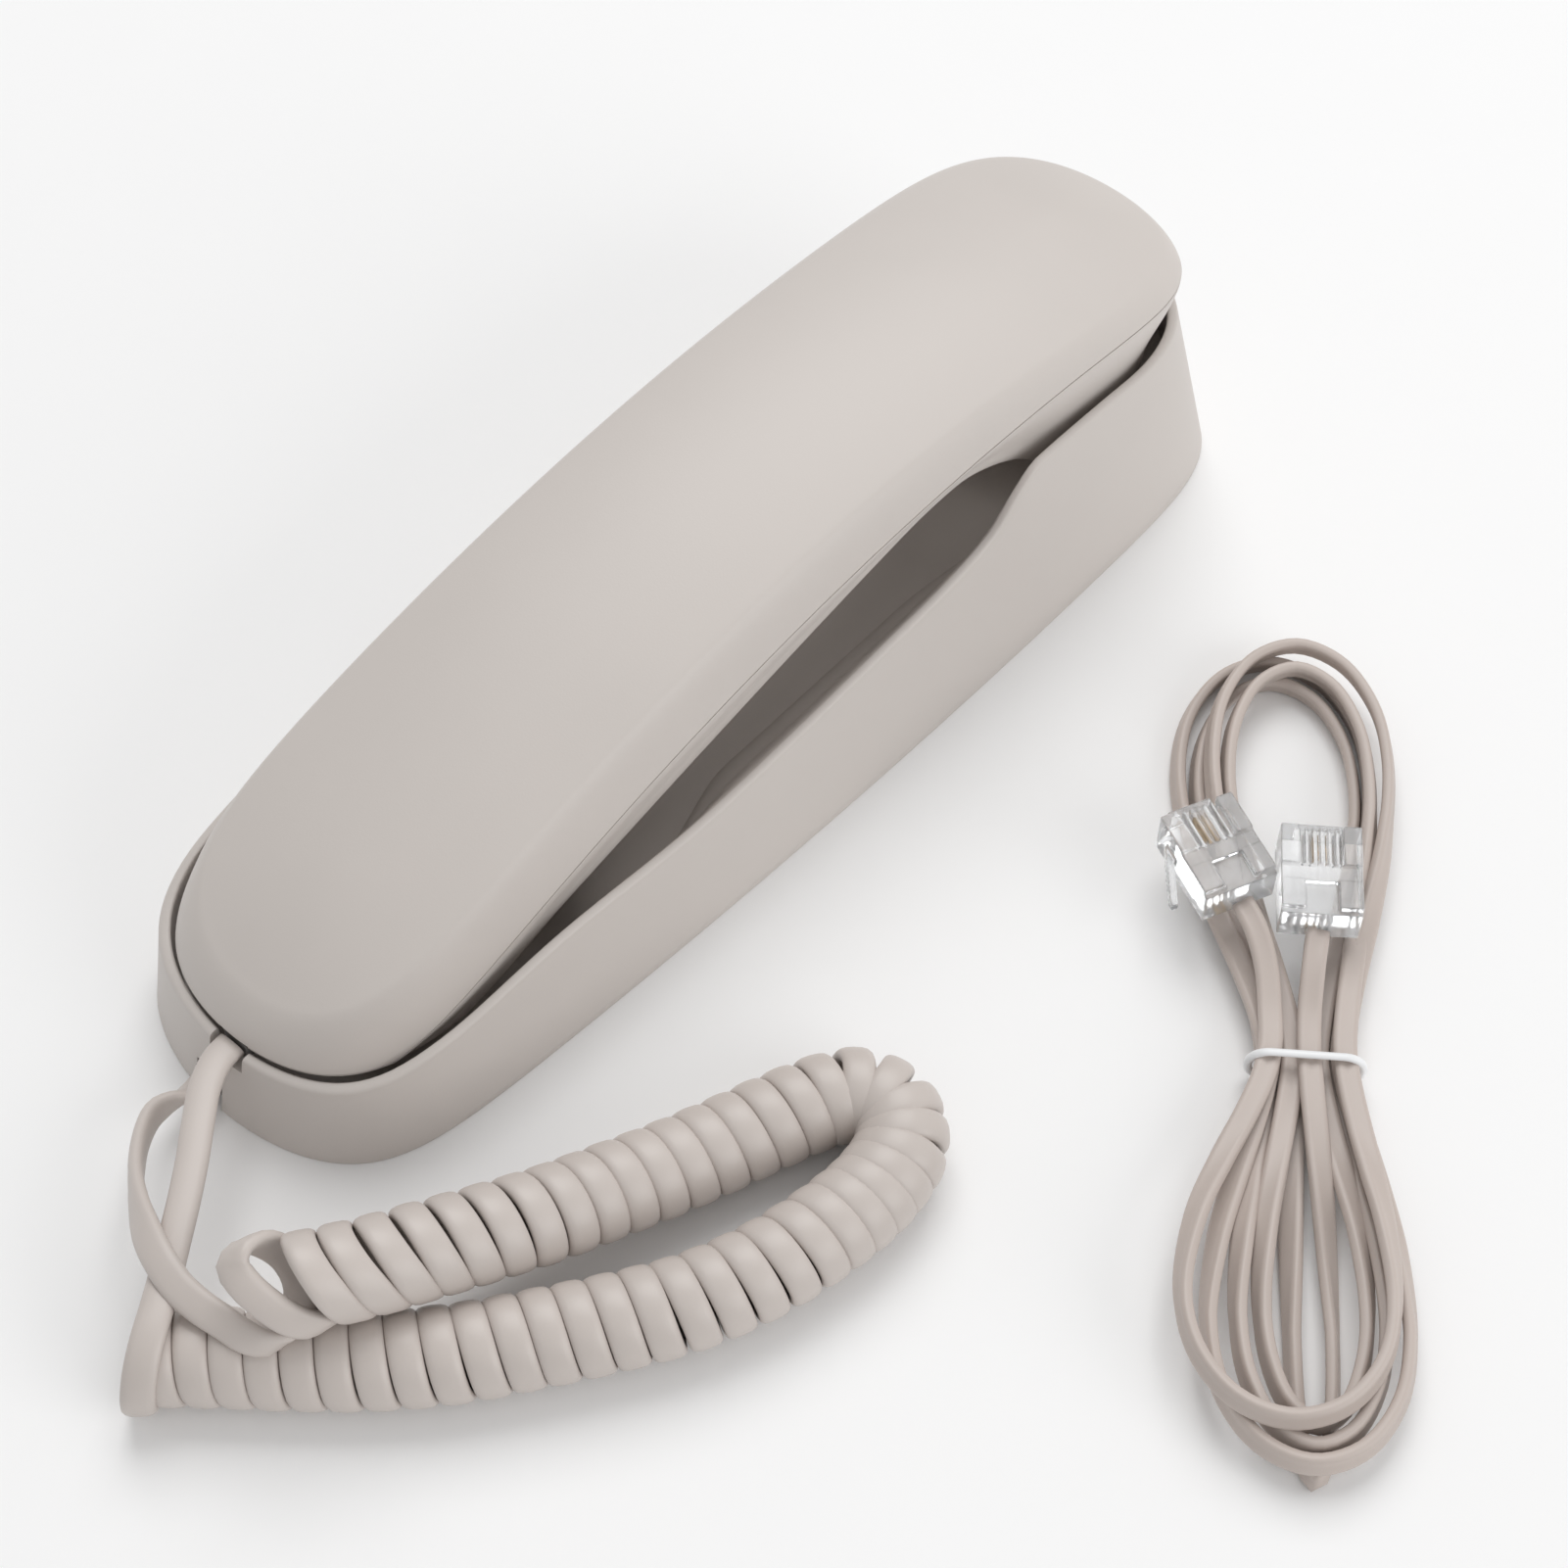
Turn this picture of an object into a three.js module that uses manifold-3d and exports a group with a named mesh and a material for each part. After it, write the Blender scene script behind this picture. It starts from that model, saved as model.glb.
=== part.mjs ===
// A slimline wall phone with its handset in the cradle, a curly handset cord and a line cord
// tied in a hank. Millimetres. +Z is up off the back plate, +Y runs to the earpiece end and
// -Y to the cord end. The phone lies on its back, with the wall face of the base on Z = 0.
import * as THREE from 'three';
import { mergeVertices } from 'three/addons/utils/BufferGeometryUtils.js';
import Module from 'manifold-3d';

const wasm = await Module();
wasm.setup();

// ---------------------------------------------------------------- driving dimensions
const gap = 0.3;                  // clearance between neighbouring pieces

const baseHalfLength = 106;
const baseHalfWidth = 31.5;       // at the middle; the sides bow in towards both ends
const baseBow = 3.9;
const baseEndPower = 14.5;
const baseCornerPower = 1.83;
const sideDraft = 0.09;           // the walls lean in as they rise
const farEndDraft = 0.3;
const nearEndDraft = 0.21;
const wall = 2.2;
const rimWidth = 1.5;
const plateThickness = 1.6;

const handsetMiddle = -2.1;       // Y of the middle of the handset
const handsetHalfLength = 99.1;
const handsetHalfWidth = 23.6;
const handsetWaist = 1.5;         // how much wider the ends are than the grip
const handsetCornerPower = 2.05;
const handsetEndPower = 11;
const shellWall = 2;

const partingTop = 46.8;          // the seam is an arc, flatter than the crown's
const partingTopY = 54;
const partingRadius = 330;
const partingEndRadius = 180;
const partingFloor = 16.3;
const crownTop = 51.8;
const crownTopY = 30;
const crownRadius = 275;
const crownRise = 2.8;

const keyTilt = THREE.MathUtils.degToRad(15);   // slope of the keypad face
const keyFaceY = -16;
const keyFaceZ = 29.3;
const keyTravelRoom = 1.3;

const cordSlotWidth = 5.8;        // the curly cord's two ends leave through slots
const handsetCordX = 2;
const handsetCordZ = 14.4;
const handsetEndY = handsetMiddle - handsetHalfLength;
const baseCordX = -1.5;
const baseCordZ = 4.6;
const baseEndY = -(baseHalfLength - nearEndDraft * baseCordZ);

const cordDiameter = 4;
const coilRadius = 7;
const coilHeight = 7.2;

const hankX = 112.6;              // the tie of the line cord's hank
const hankY = 8.4;
const hankTurn = THREE.MathUtils.degToRad(38.5);
const hankHeight = 6.5;

// ---------------------------------------------------------------- materials
const material = (color, roughness, metalness = 0) =>
  new THREE.MeshStandardMaterial({ color, roughness, metalness });
const shellPlastic = material(0xcfc5bd, 0.45);
const keyPlastic = material(0xd9d1c8, 0.5);
const cordVinyl = material(0xc9beb7, 0.42);
const clearPlastic = material(0xe9eef0, 0.12);
const rubber = material(0x6d6a66, 0.85);
const blackPlastic = material(0x222222, 0.55);
const boardGreen = material(0x2c5a3c, 0.5);
const steel = material(0xb9bcc0, 0.3, 1);
const tieVinyl = material(0xf2f2f0, 0.4);

// ---------------------------------------------------------------- solids from surfaces
const clamp01 = (value) => Math.min(Math.max(value, 0), 1);

// A smooth curve through [place, height] stations, level beyond both ends.
function curveThrough(stations) {
  const slopes = stations.map((station, i) => {
    const before = stations[Math.max(i - 1, 0)];
    const after = stations[Math.min(i + 1, stations.length - 1)];
    const turns = (after[1] - station[1]) * (station[1] - before[1]) <= 0;
    return turns ? 0 : (after[1] - before[1]) / (after[0] - before[0]);
  });
  return (place) => {
    const last = stations.length - 1;
    if (place <= stations[0][0]) return stations[0][1];
    if (place >= stations[last][0]) return stations[last][1];
    const i = stations.findIndex((station) => station[0] > place) - 1;
    const span = stations[i + 1][0] - stations[i][0];
    const s = (place - stations[i][0]) / span;
    const rise = s * s * (3 - 2 * s);
    const start = s * (1 - s) * (1 - s) * span * slopes[i];
    const end = s * s * (s - 1) * span * slopes[i + 1];
    return stations[i][1] * (1 - rise) + stations[i + 1][1] * rise + start + end;
  };
}

// Places around an outline as [along, across], both from -1 to 1. The sides are evenly
// spaced and the corners follow cos and sin, so that a high power still turns smoothly.
function outlineSteps(endPower, cornerPower, sideSteps, cornerSteps) {
  const sideEnd = 0.85;
  const corner = Math.asin(sideEnd ** (endPower / 2));
  const half = [];
  for (let i = 0; i < cornerSteps; i += 1) {
    const angle = Math.PI / 2 - (Math.PI / 2 - corner) * (i / cornerSteps);
    half.push([-(Math.sin(angle) ** (2 / endPower)), Math.cos(angle) ** (2 / cornerPower)]);
  }
  for (let i = 0; i <= sideSteps; i += 1) {
    const along = sideEnd * ((2 * i) / sideSteps - 1);
    half.push([along, (1 - Math.abs(along) ** endPower) ** (1 / cornerPower)]);
  }
  for (let i = cornerSteps - 1; i >= 0; i -= 1) half.push([-half[i][0], half[i][1]]);
  const other = half.slice(1, -1).reverse().map(([along, across]) => [along, -across]);
  return half.concat(other);
}

const baseSteps = outlineSteps(baseEndPower, baseCornerPower, 24, 8);
const handsetSteps = outlineSteps(handsetEndPower, handsetCornerPower, 26, 8);

// A closed solid through rings of equal count. Both end rings are filled by rungs that run
// straight across from side to side. The rings go anticlockwise seen from above, bottom first.
function solidFromRings(rings) {
  const count = rings[0].length;
  const positions = rings.flat(2);
  const index = [];
  for (let r = 0; r + 1 < rings.length; r += 1) {
    for (let i = 0; i < count; i += 1) {
      const a = r * count + i;
      const b = r * count + ((i + 1) % count);
      index.push(a, b, b + count, a, b + count, a + count);
    }
  }
  const cap = (start, up) => {
    for (let i = 0; i < count / 2; i += 1) {
      const quad = [i, i + 1, (count - i - 1) % count, (count - i) % count];
      const [a, b, c, d] = quad.map((k) => k + start);
      if (i > 0) index.push(...(up ? [a, c, d] : [a, d, c]));
      if (i + 1 < count / 2) index.push(...(up ? [a, b, c] : [a, c, b]));
    }
  };
  cap(0, false);
  cap((rings.length - 1) * count, true);
  const geometry = new THREE.BufferGeometry();
  geometry.setAttribute('position', new THREE.Float32BufferAttribute(positions, 3));
  geometry.setIndex(index);
  return geometry;
}

function toManifold(geometry) {
  const plain = geometry.clone();
  plain.deleteAttribute('normal');
  plain.deleteAttribute('uv');
  const merged = mergeVertices(plain, 1e-4);
  const vertProperties = Float32Array.from(merged.attributes.position.array);
  const triVerts = Uint32Array.from(merged.index.array);
  return new wasm.Manifold(new wasm.Mesh({ numProp: 3, vertProperties, triVerts }));
}

function toGeometry(manifold) {
  const mesh = manifold.getMesh();
  const geometry = new THREE.BufferGeometry();
  const positions = Float32Array.from(mesh.vertProperties);
  geometry.setAttribute('position', new THREE.BufferAttribute(positions, 3));
  geometry.setIndex(new THREE.BufferAttribute(Uint32Array.from(mesh.triVerts), 1));
  return geometry;
}

const joined = (first, ...rest) =>
  toGeometry(rest.reduce((sum, piece) => sum.add(toManifold(piece)), toManifold(first)));
const cut = (body, ...tools) =>
  toGeometry(tools.reduce((left, tool) => left.subtract(toManifold(tool)), toManifold(body)));

function box(xMin, xMax, yMin, yMax, zMin, zMax) {
  const geometry = new THREE.BoxGeometry(xMax - xMin, yMax - yMin, zMax - zMin);
  return geometry.translate((xMin + xMax) / 2, (yMin + yMax) / 2, (zMin + zMax) / 2);
}

function post(x, y, zMin, zMax, radius, sides = 20) {
  const geometry = new THREE.CylinderGeometry(radius, radius, zMax - zMin, sides);
  return geometry.rotateX(Math.PI / 2).translate(x, y, (zMin + zMax) / 2);
}

// A pan-head screw with its head down, its shank pointing up.
function screw(x, y, z, shankLength) {
  const headRadius = 2.8;
  const headHeight = 1.2;
  const shankRadius = 1.2;
  const profile = [
    new THREE.Vector2(0, 0),
    new THREE.Vector2(headRadius * 0.75, 0),
    new THREE.Vector2(headRadius, headHeight * 0.4),
    new THREE.Vector2(headRadius, headHeight),
    new THREE.Vector2(shankRadius, headHeight),
    new THREE.Vector2(shankRadius, headHeight + shankLength - shankRadius),
    new THREE.Vector2(0, headHeight + shankLength),
  ];
  return new THREE.LatheGeometry(profile, 16).rotateX(Math.PI / 2).translate(x, y, z);
}

const phone = new THREE.Group();

function addPiece(name, geometry, pieceMaterial, parent = phone) {
  const mesh = new THREE.Mesh(geometry, pieceMaterial);
  mesh.name = name;
  parent.add(mesh);
  return mesh;
}

// ---------------------------------------------------------------- base
// Height of the base's rim. It is low at the cord end, dips along the grip so that fingers
// reach under the handset, and steps up where it wraps the earpiece.
const rimHeight = curveThrough([
  [-104, 15], [-82, 19], [-60, 22.8], [-33, 23.2], [-12, 25.4], [8, 27.8], [24, 29.6],
  [34, 32], [40, 36.2], [46, 38.9], [62, 38.2], [78, 36.6], [100, 36.6],
]);
// Top of the cradle floor: a shelf over the cord jack, a pocket for the mouthpiece, the
// hollow under the grip, and the shelf that carries the earpiece.
const cradleFloor = curveThrough([
  [-93, 10.4], [-91, 10.4], [-84, 5.4], [-57, 5.4], [-49, 12.5], [-30, 14.5], [0, 16.5],
  [32, 19], [45, 25.7], [97, 25.7],
]);
// How far the cradle's wall runs inwards on its way down: steep round both pockets, and a
// wide scoop beside the grip.
const wallRun = curveThrough([
  [-106, 1.2], [-52, 1.8], [-38, 4.5], [-20, 9], [22, 9], [38, 7], [47, 2], [106, 1.6],
]);

// The base's outline at a height, moved in by an inset. height(y) may follow the length.
function baseRing(inset, height) {
  return baseSteps.map(([along, across]) => {
    const draft = along < 0 ? nearEndDraft : farEndDraft;
    const halfWidth = baseHalfWidth - baseBow * along * along;
    const step = typeof inset === 'function' ? inset(along * baseHalfLength) : inset;
    const y = along * (baseHalfLength - draft * height(along * baseHalfLength) - step);
    const z = height(y);
    return [across * halfWidth * (1 - (sideDraft * z + step) / baseHalfWidth), y, z];
  });
}

const floorUnder = (y) => cradleFloor(y) - (y < -86 ? 0.8 : 1.6);
const cradleDepth = (y) => rimHeight(y) - cradleFloor(y);
const scoopShare = (y) => clamp01((wallRun(y) - 2) / 7);

function baseShell() {
  const outside = solidFromRings([
    baseRing(0, () => 0),
    baseRing(0, (y) => rimHeight(y) - 0.5),
    baseRing(0.5, rimHeight),
    baseRing(rimWidth, rimHeight),
    baseRing((y) => rimWidth + wallRun(y) * 0.5, (y) => cradleFloor(y) + 0.38 * cradleDepth(y)),
    baseRing((y) => rimWidth + wallRun(y), cradleFloor),
  ]);
  const hollow = solidFromRings([
    baseRing(wall, () => -5),
    baseRing(wall, (y) => floorUnder(y) + 0.45 * cradleDepth(y) * scoopShare(y)),
    baseRing((y) => rimWidth + wallRun(y) + 1, floorUnder),
  ]);
  const bosses = bossPlaces.map(([x, y]) => post(x, y, plateThickness + gap, floorUnder(y) + 0.5, 3.4));
  const bossBores = bossPlaces.map(([x, y]) => post(x, y, -1, screwShank + 1.8, 1.5));
  const cordSlot = box(baseCordX - cordSlotWidth / 2, baseCordX + cordSlotWidth / 2, -120, -98,
    -1, baseCordZ + 2.3);
  const cordNotch = box(handsetCordX - 3.3, handsetCordX + 3.3, -120, -97, handsetCordZ - 2.4, 40);
  const lineCut = box(-40, -25, lineJackY - lineJackWidth / 2 - gap,
    lineJackY + lineJackWidth / 2 + gap, -1, lineJackZ + lineJackHeight / 2 + gap);
  const switchSlot = box(-40, -22, switchY - 1.6, switchY + switchThrow + 1.6, 10.2, 13.8);
  const plungerHole = box(-3.3, 3.3, plungerY - 2.3, plungerY + 2.3, 15, 40);
  const hollowed = joined(cut(outside, hollow), ...bosses);
  return cut(hollowed, ...bossBores, cordSlot, cordNotch, lineCut, switchSlot, plungerHole);
}

const bossPlaces = [[-20, 80], [20, 80], [-20, -42], [20, -42]];
const screwShank = 6.5;
const keyholePlaces = [56, -28];
const lineJackY = -29;
const lineJackWidth = 14.6;
const lineJackHeight = 9.6;
const lineJackDepth = 15;
const lineJackZ = plateThickness + gap + lineJackHeight / 2;
const switchY = 36;
const switchThrow = 6;
const plungerY = 66;

function backPlate() {
  const plate = solidFromRings([
    baseRing(wall + gap, () => 0),
    baseRing(wall + gap, () => plateThickness),
  ]);
  const screwHoles = bossPlaces.map(([x, y]) => post(x, y, -1, 3, 3.2));
  const keyholes = keyholePlaces.flatMap((y) => [
    post(0, y, -1, 3, 4.5),
    box(-2.3, 2.3, y, y + 10, -1, 3),
  ]);
  return cut(plate, ...screwHoles, ...keyholes);
}

// A moulded strain relief on a cord's end: a neck in the wall's slot and a collar behind it.
// It is made pointing along -Y, with its front face at the origin.
function strainRelief(collarWidth, collarHeight) {
  const neck = box(-2.6, 2.6, 0, 5, -1.4, 1.4);
  const collar = box(-collarWidth / 2, collarWidth / 2, 4, 9, -collarHeight / 2, collarHeight / 2);
  return joined(neck, collar);
}

// A modular jack: a box with its socket open at the front. It is made with the opening
// facing -Y at the origin, and turned and placed afterwards.
function jackShell(width, height, depth) {
  const body = box(-width / 2, width / 2, 0, depth, -height / 2, height / 2);
  const lip = 0.4;
  const back = 1.1;
  const socket = box(-width / 2 + 0.7, width / 2 - 0.7, -1, depth - back,
    -height / 2 + lip, height / 2 - lip);
  return cut(body, socket);
}

function hookPlunger() {
  const stem = box(-2.8, 2.8, plungerY - 1.8, plungerY + 1.8, 19, cradleFloor(plungerY));
  const collar = box(-5, 5, plungerY - 2.6, plungerY + 2.6, 17.4, 19.2);
  return joined(stem, collar);
}

function ringerKnob() {
  const skin = -(baseHalfWidth - sideDraft * 12);
  const nub = box(skin - 0.9, skin + 5, switchY - 1.3, switchY + 1.3, 10.5, 13.5);
  const flange = box(skin + 3.2, skin + 4.2, switchY - 4.5, switchY + 4.5, 9.2, 14.8);
  return joined(nub, flange);
}

addPiece('base_shell', baseShell(), shellPlastic);
addPiece('back_plate', backPlate(), shellPlastic);
bossPlaces.forEach(([x, y], i) => {
  addPiece(`base_screw_${i + 1}`, screw(x, y, 0.3, screwShank), steel);
});
addPiece('base_cord_relief', strainRelief(8, 5), rubber)
  .position.set(baseCordX, baseEndY, baseCordZ);
const lineJackShell = jackShell(lineJackWidth, lineJackHeight, lineJackDepth);
const lineJack = addPiece('line_jack', lineJackShell, blackPlastic);
lineJack.position.set(-(baseHalfWidth - wall), lineJackY, lineJackZ);
lineJack.rotation.z = -Math.PI / 2;
addPiece('ringer_board', box(-17, 17, -20, 60, 5, plateThickness + 5), boardGreen);
addPiece('ringer_sounder', post(0, 22, 7, 12, 9, 28), blackPlastic);
addPiece('hook_switch_body', box(-7, 7, plungerY - 5, plungerY + 5, 7.2, 16.6), blackPlastic);
addPiece('hook_plunger', hookPlunger(), keyPlastic);
addPiece('ringer_switch_knob', ringerKnob(), blackPlastic);

// ---------------------------------------------------------------- handset
const arc = (y, top, topY, radius) => top - ((y - topY) ** 2) / (2 * radius);
const partingHeight = (y) => Math.max(
  arc(y, partingTop, partingTopY, y > partingTopY ? partingEndRadius : partingRadius),
  partingFloor,
);
const crownEdge = (y) => arc(y, crownTop, crownTopY, crownRadius);
// Underside of the handset's bar along its edge.
const barUnderside = curveThrough([
  [-101, 12.6], [-86, 12.6], [-79, 12], [-55, 18.8], [-54, 19.1], [18, 38.3], [24, 39.6],
  [31, 40.2], [39, 38.2], [46, 34.4], [53, 28.5], [58, 26], [99, 26],
]);

// The handset's outline moved in by an inset on the sides and at either end.
function handsetRing(sideInset, nearInset, farInset, height) {
  return handsetSteps.map(([along, across]) => {
    const endInset = along < 0 ? nearInset : farInset;
    const y = handsetMiddle + along * (handsetHalfLength - endInset);
    const halfWidth = handsetHalfWidth + handsetWaist * along * along;
    return [across * (halfWidth - sideInset), y, height(y)];
  });
}

// The crown: its side wall leans in, turns over an edge radius and closes in a low arch.
// Towards the cord end the whole top curves down like the end of a boat.
function crownRings(offset, skirt) {
  const lift = (share, y) => {
    const parting = partingHeight(y);
    return parting + share * (crownEdge(y) - parting) - offset;
  };
  const rise = (amount) => (y) => crownEdge(y) + amount - offset;
  return [
    handsetRing(offset, offset, offset, (y) => partingHeight(y) - skirt),
    handsetRing(offset + 1.2, offset + 0.7, offset + 0.2, (y) => lift(0.55, y)),
    handsetRing(offset + 2.2, offset + 2.4, offset + 0.5, (y) => lift(0.9, y)),
    handsetRing(offset + 3.8, offset + 5.2, offset + 1.6, rise(0.5)),
    handsetRing(offset + 8.5, offset + 10, offset + 6, rise(crownRise * 0.6)),
    handsetRing(offset + 15, offset + 18, offset + 13, rise(crownRise)),
  ];
}

const handsetCordSlot = joined(
  box(handsetCordX - cordSlotWidth / 2, handsetCordX + cordSlotWidth / 2,
    -115, -96, handsetCordZ - 1.8, handsetCordZ + 1.7),
  box(handsetCordX - 4.4, handsetCordX + 4.4, -97.2, -91, handsetCordZ - 1.8, 20),
);
const handsetScrewPlaces = [38, -56];
const handsetShank = 8;

function handsetUpperShell() {
  const outside = solidFromRings(crownRings(0, 0));
  const hollow = solidFromRings(crownRings(shellWall, 12));
  const bosses = handsetScrewPlaces.map((y) =>
    post(0, y, barUnderside(y) + 4, crownEdge(y) + 1.6, 3));
  const bores = handsetScrewPlaces.map((y) =>
    post(0, y, barUnderside(y) - 1, barUnderside(y) + handsetShank + 2.4, 1.5));
  return cut(joined(cut(outside, hollow), ...bosses), ...bores);
}

// The lower shell: the bar that faces the cradle, with the earpiece housing as a deep end
// and the mouthpiece as a narrower bulge.
function lowerRings(offset) {
  const seam = offset > 0 ? -12 : gap;
  const under = (y) => barUnderside(y) + offset;
  const half = (y) => under(y) + 0.42 * Math.max(partingHeight(y) - under(y), 0);
  return [
    handsetRing(offset + 4.6, offset + 5, offset + 9, under),
    handsetRing(offset + 1.8, offset + 1.6, offset + 7.4, (y) => under(y) + 1.1),
    handsetRing(offset + 0.9, offset + 1, offset + 6, (y) => Math.min(half(y) + 1, under(y) + 11)),
    handsetRing(offset, offset, offset, (y) => partingHeight(y) - seam),
  ];
}

function mouthpieceBulge(offset) {
  const middle = -70.5;
  const halfLength = 10.5 - offset;
  const halfWidth = 17 - offset;
  const corner = 6 - offset * 0.5;
  const shape = new THREE.Shape();
  shape.moveTo(-halfWidth + corner, -halfLength);
  shape.lineTo(halfWidth - corner, -halfLength);
  shape.absarc(halfWidth - corner, -halfLength + corner, corner, -Math.PI / 2, 0);
  shape.absarc(halfWidth - corner, halfLength - corner, corner, 0, Math.PI / 2);
  shape.absarc(-halfWidth + corner, halfLength - corner, corner, Math.PI / 2, Math.PI);
  shape.absarc(-halfWidth + corner, -halfLength + corner, corner, Math.PI, 1.5 * Math.PI);
  const bottom = 5.7 + offset;
  const depth = 16.5 - bottom;
  const geometry = new THREE.ExtrudeGeometry(shape, { depth, bevelEnabled: false, curveSegments: 5 });
  return geometry.translate(0, middle, bottom);
}

// The keypad's frame: the face slopes along the bar, and keys travel square to it.
const keypad = new THREE.Group();
keypad.position.set(0, keyFaceY, keyFaceZ);
keypad.rotation.x = keyTilt;
phone.add(keypad);
keypad.updateMatrixWorld(true);

const keyColumns = [-12.5, 0, 12.5];
const keyRowPitch = 11.8;
const keyRows = [2, 1, 0, -1, -2];
const keyNames = [
  ['key_redial', 'key_flash', 'key_mute'],
  ['key_1', 'key_2', 'key_3'],
  ['key_4', 'key_5', 'key_6'],
  ['key_7', 'key_8', 'key_9'],
  ['key_star', 'key_0', 'key_hash'],
];
const keyWidth = 8.6;
const keyLength = 6.2;
const keyProud = 1.1;
const keyDepth = shellWall + 0.6;

function keyWindows() {
  return keyRows.flatMap((row) => keyColumns.map((x) => {
    const y = row * keyRowPitch;
    const window = box(x - keyWidth / 2 - gap, x + keyWidth / 2 + gap,
      y - keyLength / 2 - gap, y + keyLength / 2 + gap, -6, keyDepth + 1);
    return window.applyMatrix4(keypad.matrixWorld);
  }));
}

function soundHoles(y, zMin, zMax, radius, rings) {
  const holes = [post(0, y, zMin, zMax, radius, 8)];
  for (let ring = 1; ring <= rings; ring += 1) {
    for (let i = 0; i < 6; i += 1) {
      const angle = (i * Math.PI) / 3 + ring * 0.5;
      const reach = ring * radius * 3.4;
      holes.push(post(reach * Math.cos(angle), y + reach * Math.sin(angle), zMin, zMax, radius, 8));
    }
  }
  return holes;
}

const receiverY = 74;
const microphoneY = -70.5;

function handsetLowerShell() {
  const outside = joined(solidFromRings(lowerRings(0)), mouthpieceBulge(0));
  const hollow = solidFromRings(lowerRings(shellWall));
  const bulgeHollow = mouthpieceBulge(1.6);
  const screwHoles = handsetScrewPlaces.map((y) => post(0, y, barUnderside(y) - 3, 60, 3.3));
  return cut(outside, hollow, bulgeHollow, handsetCordSlot, ...screwHoles, ...keyWindows(),
    ...soundHoles(receiverY, 20, 32, 1.1, 2), ...soundHoles(microphoneY, 3, 9, 0.7, 1));
}

function keyCap() {
  const cap = box(-keyWidth / 2, keyWidth / 2, -keyLength / 2, keyLength / 2, -keyProud, keyDepth);
  const flange = box(-keyWidth / 2 - 0.9, keyWidth / 2 + 0.9, -keyLength / 2 - 0.9,
    keyLength / 2 + 0.9, keyDepth - 0.1, keyDepth + 0.8);
  return joined(cap, flange);
}

addPiece('handset_upper_shell', handsetUpperShell(), shellPlastic);
addPiece('handset_lower_shell', handsetLowerShell(), shellPlastic);
addPiece('handset_cord_relief', strainRelief(8, 3), rubber)
  .position.set(handsetCordX, handsetEndY + 0.3, handsetCordZ);
handsetScrewPlaces.forEach((y, i) => {
  addPiece(`handset_screw_${i + 1}`, screw(0, y, barUnderside(y) + 0.6, handsetShank), steel);
});
addPiece('receiver_capsule', post(0, receiverY, 28.6, 35.5, 12, 28), blackPlastic);
addPiece('microphone_capsule', post(0, microphoneY, 8.6, 13.6, 4.8, 20), steel);

keyRows.forEach((row, r) => keyColumns.forEach((x, c) => {
  addPiece(keyNames[r][c], keyCap(), keyPlastic, keypad).position.set(x, row * keyRowPitch, 0);
}));
const membraneStart = keyDepth + 0.8 + keyTravelRoom;
addPiece('keypad_membrane', box(-18.5, 18.5, -30, 30, membraneStart, membraneStart + 1), rubber, keypad);
addPiece('handset_board', box(-18.5, 18.5, -31, 31, membraneStart + 1.3, membraneStart + 2.9),
  boardGreen, keypad);

// ---------------------------------------------------------------- curly handset cord
function cordTube(points, diameter, sides, steps) {
  const route = new THREE.CatmullRomCurve3(points.map((p) => new THREE.Vector3(...p)), false, 'centripetal');
  const section = new THREE.Shape();
  for (let i = 0; i < sides; i += 1) {
    const angle = (2 * Math.PI * (i + 0.5)) / sides;
    const x = (diameter / 2) * Math.cos(angle);
    const y = (diameter / 2) * Math.sin(angle);
    if (i === 0) section.moveTo(x, y);
    else section.lineTo(x, y);
  }
  section.closePath();
  return new THREE.ExtrudeGeometry(section, { steps, extrudePath: route, bevelEnabled: false });
}

// From the handset over the rim, down beside the base and into the coil's near end.
const handsetTail = [
  [handsetCordX, handsetEndY - gap, handsetCordZ], [2.4, -104.6, 14.2], [4, -108.2, 13],
  [7, -112.8, 11.4], [10.6, -117.6, 9.9], [14.2, -122.4, 8.7], [17.4, -127.2, 7.9],
  [19.7, -132.2, 7.4], [20.6, -137.2, 7.2], [21.8, -141.2, 7.2], [24.6, -141.9, 7.2],
  [27.75, -139.03, 7.2],
];
// The coil lies on the floor in a hairpin: out along one run and back along the other.
const coilRoute = [
  [28, -138.8], [35.6, -132], [43, -125.6], [50.4, -118.6], [57.6, -110.4], [64, -101.4],
  [70, -92.4], [75.3, -83.4], [79.2, -73.5], [81.6, -62.5], [82.5, -52], [81, -44.6],
  [75.4, -40.8], [70, -42.6], [67.2, -47.2], [64.4, -54.4], [61.6, -62.4], [58.6, -70.5],
  [55, -78.4], [51.2, -86.2], [47, -93.6], [42.8, -100.4], [38.8, -106.8], [34.9, -112.8],
  [31, -118.4],
].map(([x, y]) => [x, y, coilHeight]);
// From the base round a loose loop, over the first run and into the second run's end.
const baseTail = [
  [baseCordX, baseEndY - gap, baseCordZ], [-2, -108.4, 4.4], [-3, -111.6, 4], [-3.2, -115.2, 3.6],
  [-1.6, -119, 3.6], [2, -122.2, 4.8], [6.4, -124.8, 7.2], [11.4, -126.8, 10.6],
  [16.6, -128.2, 13.4], [21.6, -128.8, 14.2], [25.6, -127.8, 13.4], [27.6, -125, 10.8],
  [28.6, -122.1, 8.1], [29.6, -120.5, 7.3], [30.75, -118.77, 7.2],
];

addPiece('handset_cord_tail', cordTube(handsetTail, cordDiameter, 8, 26), cordVinyl);
addPiece('handset_cord_coil', cordTube(coilRoute, coilRadius * 2, 12, 46), cordVinyl);
addPiece('base_cord_tail', cordTube(baseTail, cordDiameter, 8, 30), cordVinyl);

// ---------------------------------------------------------------- line cord in a hank
const hank = new THREE.Group();
hank.position.set(hankX, hankY, 0);
hank.rotation.z = hankTurn;
phone.add(hank);

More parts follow.
